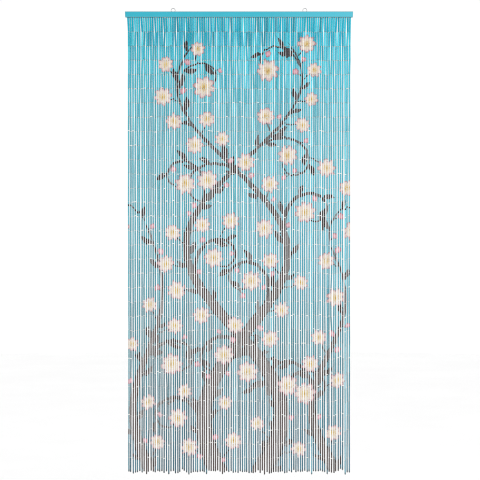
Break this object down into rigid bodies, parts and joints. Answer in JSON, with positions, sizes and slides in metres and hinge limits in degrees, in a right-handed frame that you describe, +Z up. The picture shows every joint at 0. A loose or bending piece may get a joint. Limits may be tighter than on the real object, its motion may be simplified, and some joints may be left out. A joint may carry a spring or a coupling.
{
  "type": "bamboo bead fly curtain with wooden header bar",
  "caption": "Door curtain of painted cane beads in hanging strands, under a painted wooden header bar with two screw eyes for hooks.",
  "frame": {"origin": "midway between the two screw eyes, at the height where the top of each ring rests on a hook", "axes": "+Z up, the painted front faces -Y, +X runs along the header to the right as seen from the front"},
  "size_m": [0.9898, 0.016, 2.0251],
  "materials": {
    "header_paint": "turquoise paint, satin",
    "painted_cane": "turquoise paint on cane, dull satin",
    "steel_wire": "zinc plated"
  },
  "bodies": {
    "root": {"header": "header_paint", "eye_left": "steel_wire", "eye_right": "steel_wire", "strands": "painted_cane"}
  },
  "joints": []
}
